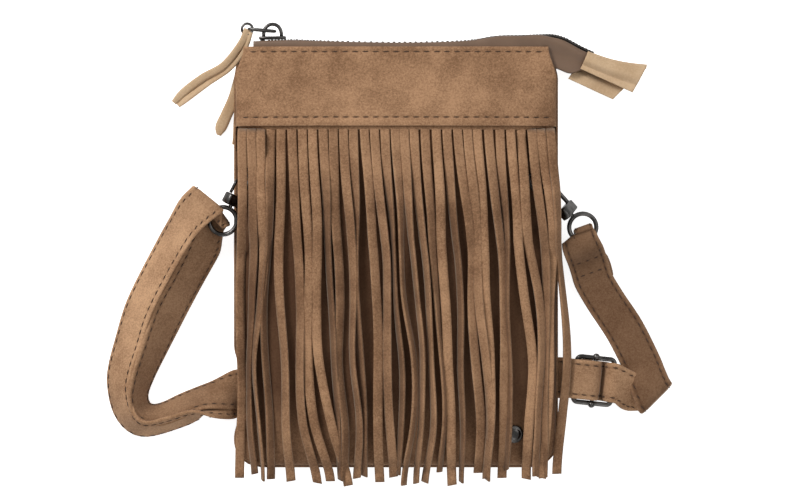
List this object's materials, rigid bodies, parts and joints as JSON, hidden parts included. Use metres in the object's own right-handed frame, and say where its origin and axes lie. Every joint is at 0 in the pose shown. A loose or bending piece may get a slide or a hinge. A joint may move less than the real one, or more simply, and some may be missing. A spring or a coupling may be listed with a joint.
{
  "type": "fringed suede bag",
  "caption": "Small flat zipped shoulder bag in suede with a long fringe, a folded buckled strap and dark metal hooks, lying on its back.",
  "frame": {"origin": "middle of the flat area that the back panel rests on, on its outer face", "axes": "+Z out of the bag's front, +Y towards the zipped mouth, +X to the right of the front"},
  "size_m": [0.3186, 0.257, 0.0309],
  "materials": {
    "suede": "napped suede",
    "pale_suede": "napped suede",
    "smooth_facing": "smooth, slightly glossy",
    "cloth": "woven",
    "dark_metal": "polished gunmetal"
  },
  "bodies": {
    "bag": {"front_panel": "suede", "back_panel": "suede", "front_band": "suede", "fringe": "suede", "lining": "cloth", "zip_tape_front": "cloth", "zip_tape_back": "cloth", "zip_facing_front": "smooth_facing", "zip_facing_back": "smooth_facing", "zip_teeth_front": "dark_metal", "zip_teeth_back": "dark_metal", "zip_end_tab": "pale_suede", "ring_tab_left": "suede", "ring_tab_right": "suede", "stud": "dark_metal", "strap": "suede", "strap_ring_left": "dark_metal", "strap_ring_right": "dark_metal", "adjuster": "dark_metal"},
    "slider": {"zip_slider": "dark_metal"},
    "puller": {"zip_puller": "dark_metal", "pull_ring": "dark_metal", "pull_lace_long": "pale_suede", "pull_lace_middle": "pale_suede"},
    "d_ring_left": {"d_ring_left": "dark_metal"},
    "d_ring_right": {"d_ring_right": "dark_metal"},
    "hook_left": {"hook_left": "dark_metal"},
    "hook_right": {"hook_right": "dark_metal"},
    "gate_left": {"hook_gate_left": "dark_metal"},
    "gate_right": {"hook_gate_right": "dark_metal"}
  },
  "joints": [
    {"name": "zip_slide", "type": "slide", "parent": "bag", "child": "slider", "axis": [0.9998, 0.0189, 0], "range_m": [0, 0.132], "deforming": ["zip_teeth_front", "zip_teeth_back", "zip_tape_front", "zip_tape_back", "zip_facing_front", "zip_facing_back"]},
    {"name": "puller_pivot", "type": "hinge", "parent": "slider", "child": "puller", "pos_m": [-0.06801, 0.12426, 0.0124], "axis": [0, 0, -1], "range_deg": [0, 150], "deforming": ["pull_lace_long", "pull_lace_middle"]},
    {"name": "d_ring_left_pivot", "type": "hinge", "parent": "bag", "child": "d_ring_left", "pos_m": [-0.08001, 0.05288, 0.0184], "axis": [1, 0, 0], "range_deg": [-3, 3]},
    {"name": "d_ring_right_pivot", "type": "hinge", "parent": "bag", "child": "d_ring_right", "pos_m": [0.0802, 0.04432, 0.0184], "axis": [1, 0, 0], "range_deg": [-3, 3]},
    {"name": "hook_left_swivel", "type": "hinge", "parent": "bag", "child": "hook_left", "pos_m": [-0.0958, 0.019, 0.0174], "axis": [0.4526, 0.891, 0.0354], "range_deg": [-5, 5]},
    {"name": "hook_right_swivel", "type": "hinge", "parent": "bag", "child": "hook_right", "pos_m": [0.1036, 0.0154, 0.0154], "axis": [-0.6637, 0.7406, 0.1048], "range_deg": [-5, 5]},
    {"name": "gate_left_pivot", "type": "hinge", "parent": "hook_left", "child": "gate_left", "pos_m": [-0.09132, 0.03463, 0.02164], "axis": [-0.6727, 0.3672, -0.6424], "range_deg": [0, 20], "stiffness_Nm_per_rad": 0.01},
    {"name": "gate_right_pivot", "type": "hinge", "parent": "hook_right", "child": "gate_right", "pos_m": [0.09087, 0.02498, 0.02074], "axis": [-0.6154, -0.4611, -0.6392], "range_deg": [0, 20], "stiffness_Nm_per_rad": 0.01}
  ]
}
